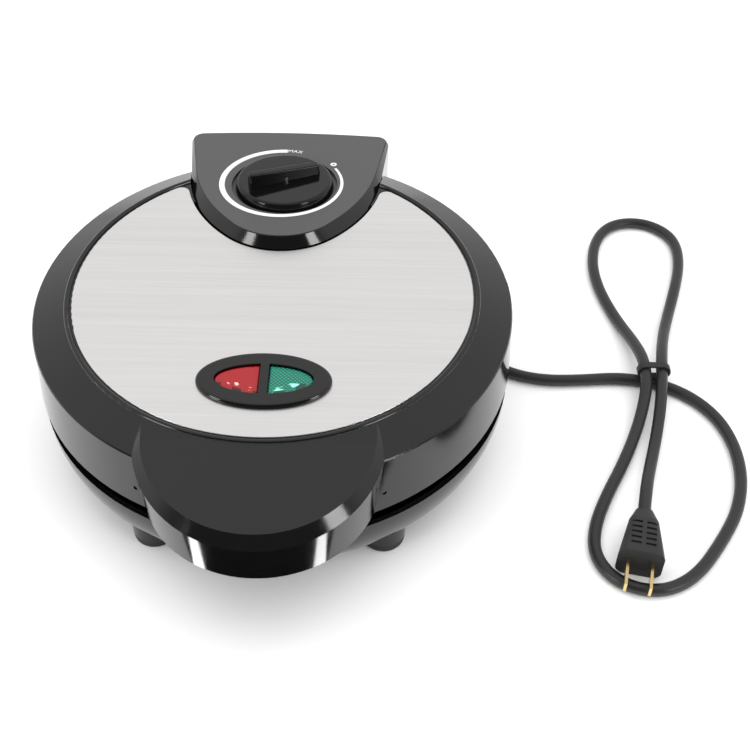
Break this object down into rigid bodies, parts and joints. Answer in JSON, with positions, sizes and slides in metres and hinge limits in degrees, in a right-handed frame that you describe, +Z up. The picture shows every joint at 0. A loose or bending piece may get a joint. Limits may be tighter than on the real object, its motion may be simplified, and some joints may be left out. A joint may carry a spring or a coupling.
{
  "type": "egg roll maker",
  "caption": "Round countertop wafer cooker with a hinged lid, grill plates, rotary heat dial, indicator lamps, front handle and mains cord.",
  "frame": {"origin": "centre of the footprint of the cooker without its cord, on the surface it stands on", "axes": "+Z up, +Y from the front handle to the hinge, +X to the right seen from the front"},
  "size_m": [0.3958, 0.3692, 0.1109],
  "materials": {
    "glossy_black_shell": "glossy injection moulded",
    "satin_black_shell": "satin, fine spark texture",
    "matt_black_pod": "matt top with glossy flanks",
    "brushed_steel": "straight brushed grain",
    "red_lens": "ribbed translucent plastic",
    "green_lens": "ribbed translucent plastic",
    "white_plastic": "smooth",
    "cast_plate": "cast, with a dark non-stick coating",
    "element_steel": "dull sheath, heat tinted",
    "bright_sheet": "bright rolled sheet",
    "ceramic": "glazed ceramic",
    "zinc_steel": "zinc plated",
    "brass": "stamped",
    "black_rubber": "matt moulded",
    "cord_jacket": "satin vinyl jacket",
    "red_lead": "silicone sleeve"
  },
  "bodies": {
    "base": {"base_housing": "glossy_black_shell", "bottom_cover": "satin_black_shell", "cover_screws": "zinc_steel", "foot_front_left": "black_rubber", "foot_rear_left": "black_rubber", "foot_front_right": "black_rubber", "foot_rear_right": "black_rubber", "hinge_pin_left": "zinc_steel", "hinge_pin_right": "zinc_steel", "lower_grill_plate": "cast_plate", "lower_heating_element": "element_steel", "lower_terminal_tabs": "brass", "lower_insulators": "ceramic", "lower_reflector": "bright_sheet", "lower_post_washers": "zinc_steel", "lower_plate_screws": "zinc_steel", "lower_leads": "red_lead", "terminal_block": "ceramic", "cord_clamp": "satin_black_shell", "clamp_screws": "zinc_steel", "inner_cord": "cord_jacket", "strain_relief": "black_rubber", "power_cord": "cord_jacket", "cord_tie": "black_rubber", "mains_plug": "black_rubber", "plug_blades": "brass"},
    "lid": {"lid_housing": "glossy_black_shell", "steel_top": "brushed_steel", "control_pod": "matt_black_pod", "lamp_bezel": "glossy_black_shell", "red_lens": "red_lens", "green_lens": "green_lens", "lamp_tray": "white_plastic", "neon_lamps": "white_plastic", "handle_cover": "satin_black_shell", "handle_screws": "zinc_steel", "pod_screws": "zinc_steel", "upper_grill_plate": "cast_plate", "upper_heating_element": "element_steel", "upper_terminal_tabs": "brass", "upper_insulators": "ceramic", "upper_reflector": "bright_sheet", "upper_post_washers": "zinc_steel", "upper_plate_screws": "zinc_steel", "upper_leads": "red_lead", "thermostat": "zinc_steel", "thermostat_nut": "brass", "thermostat_probe": "bright_sheet", "thermal_fuse": "white_plastic", "fuse_clip": "zinc_steel", "fuse_screw": "zinc_steel"},
    "dial": {"dial_knob": "glossy_black_shell", "thermostat_shaft": "zinc_steel"}
  },
  "joints": [
    {"name": "lid_hinge", "type": "hinge", "parent": "base", "child": "lid", "pos_m": [0, 0.14367, 0.0495], "axis": [-1, 0, 0], "range_deg": [0, 100]},
    {"name": "dial_turn", "type": "hinge", "parent": "lid", "child": "dial", "pos_m": [0, 0.09537, 0.09862], "axis": [0, 0.0802, 0.9968], "range_deg": [-283, 17]}
  ]
}
